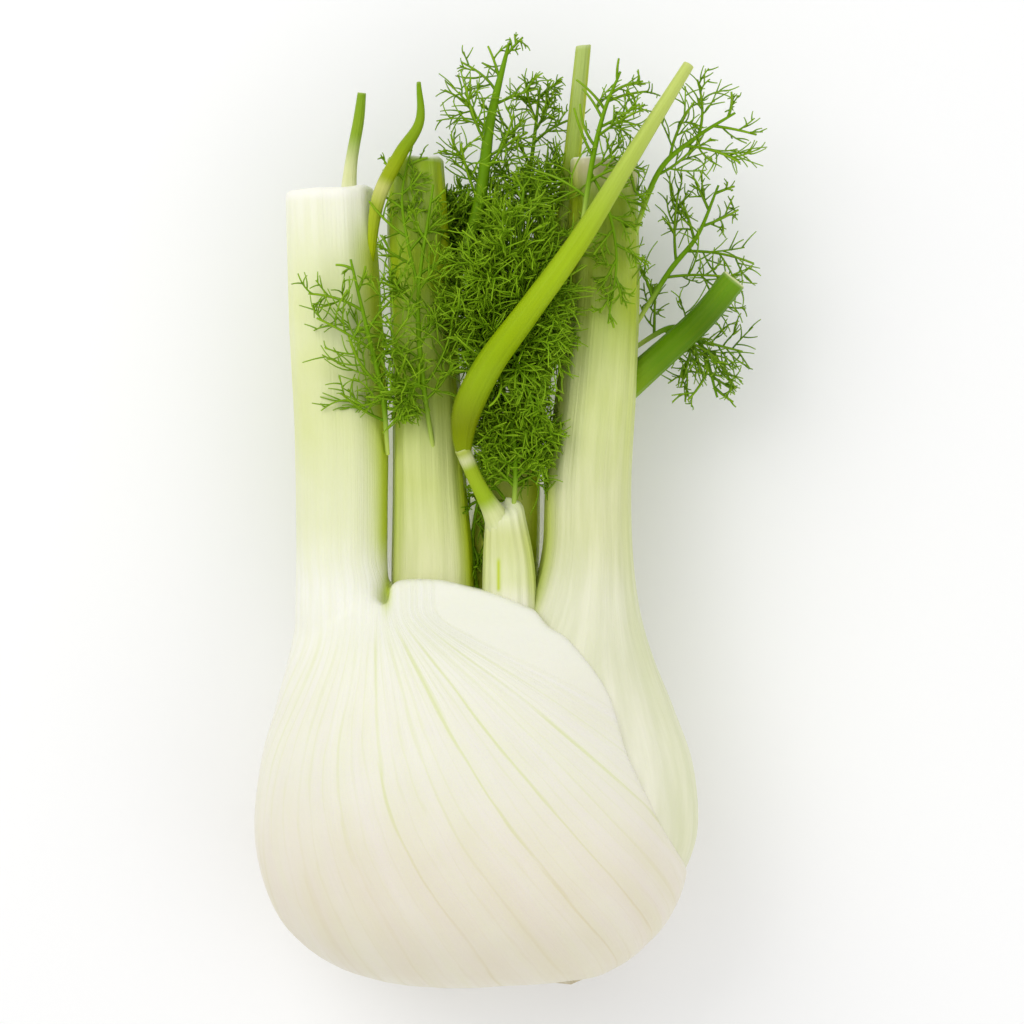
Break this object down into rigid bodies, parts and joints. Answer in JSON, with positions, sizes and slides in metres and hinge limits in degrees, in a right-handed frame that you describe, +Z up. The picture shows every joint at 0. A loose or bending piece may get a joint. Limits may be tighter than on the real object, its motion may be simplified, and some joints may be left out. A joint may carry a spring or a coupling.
{
  "type": "fennel bulb",
  "caption": "Florence fennel bulb lying on its broad side: overlapping white leaf bases, cut pale green stalks above and feathery green leaves between them.",
  "frame": {"origin": "on the flat spot under the bulb that it rests on", "axes": "+Y from the root to the stalk tips, +Z up from the surface it lies on, +X to the right seen from above"},
  "size_m": [0.1211, 0.232, 0.0725],
  "materials": {
    "sheath": "satin",
    "stalk": "satin",
    "stem": "satin",
    "leaf": "matte",
    "root": "matte"
  },
  "bodies": {
    "root": {"root_plate": "root", "leaf_left": "sheath", "leaf_right": "sheath", "stalk_mid_left": "stalk", "stalk_middle": "stalk", "stalk_back": "stalk", "stem_left_top": "stem", "stem_left_fork": "stem", "stem_long": "stem", "stem_fork": "stem", "stem_right_low": "stem", "frond_left": "leaf", "frond_mid_left": "leaf", "frond_front": "leaf", "frond_low": "leaf", "frond_top_left": "leaf", "frond_top_middle": "leaf", "frond_behind": "leaf", "frond_top_right": "leaf", "frond_right_upper": "leaf", "frond_right": "leaf", "frond_right_low": "leaf"}
  },
  "joints": []
}
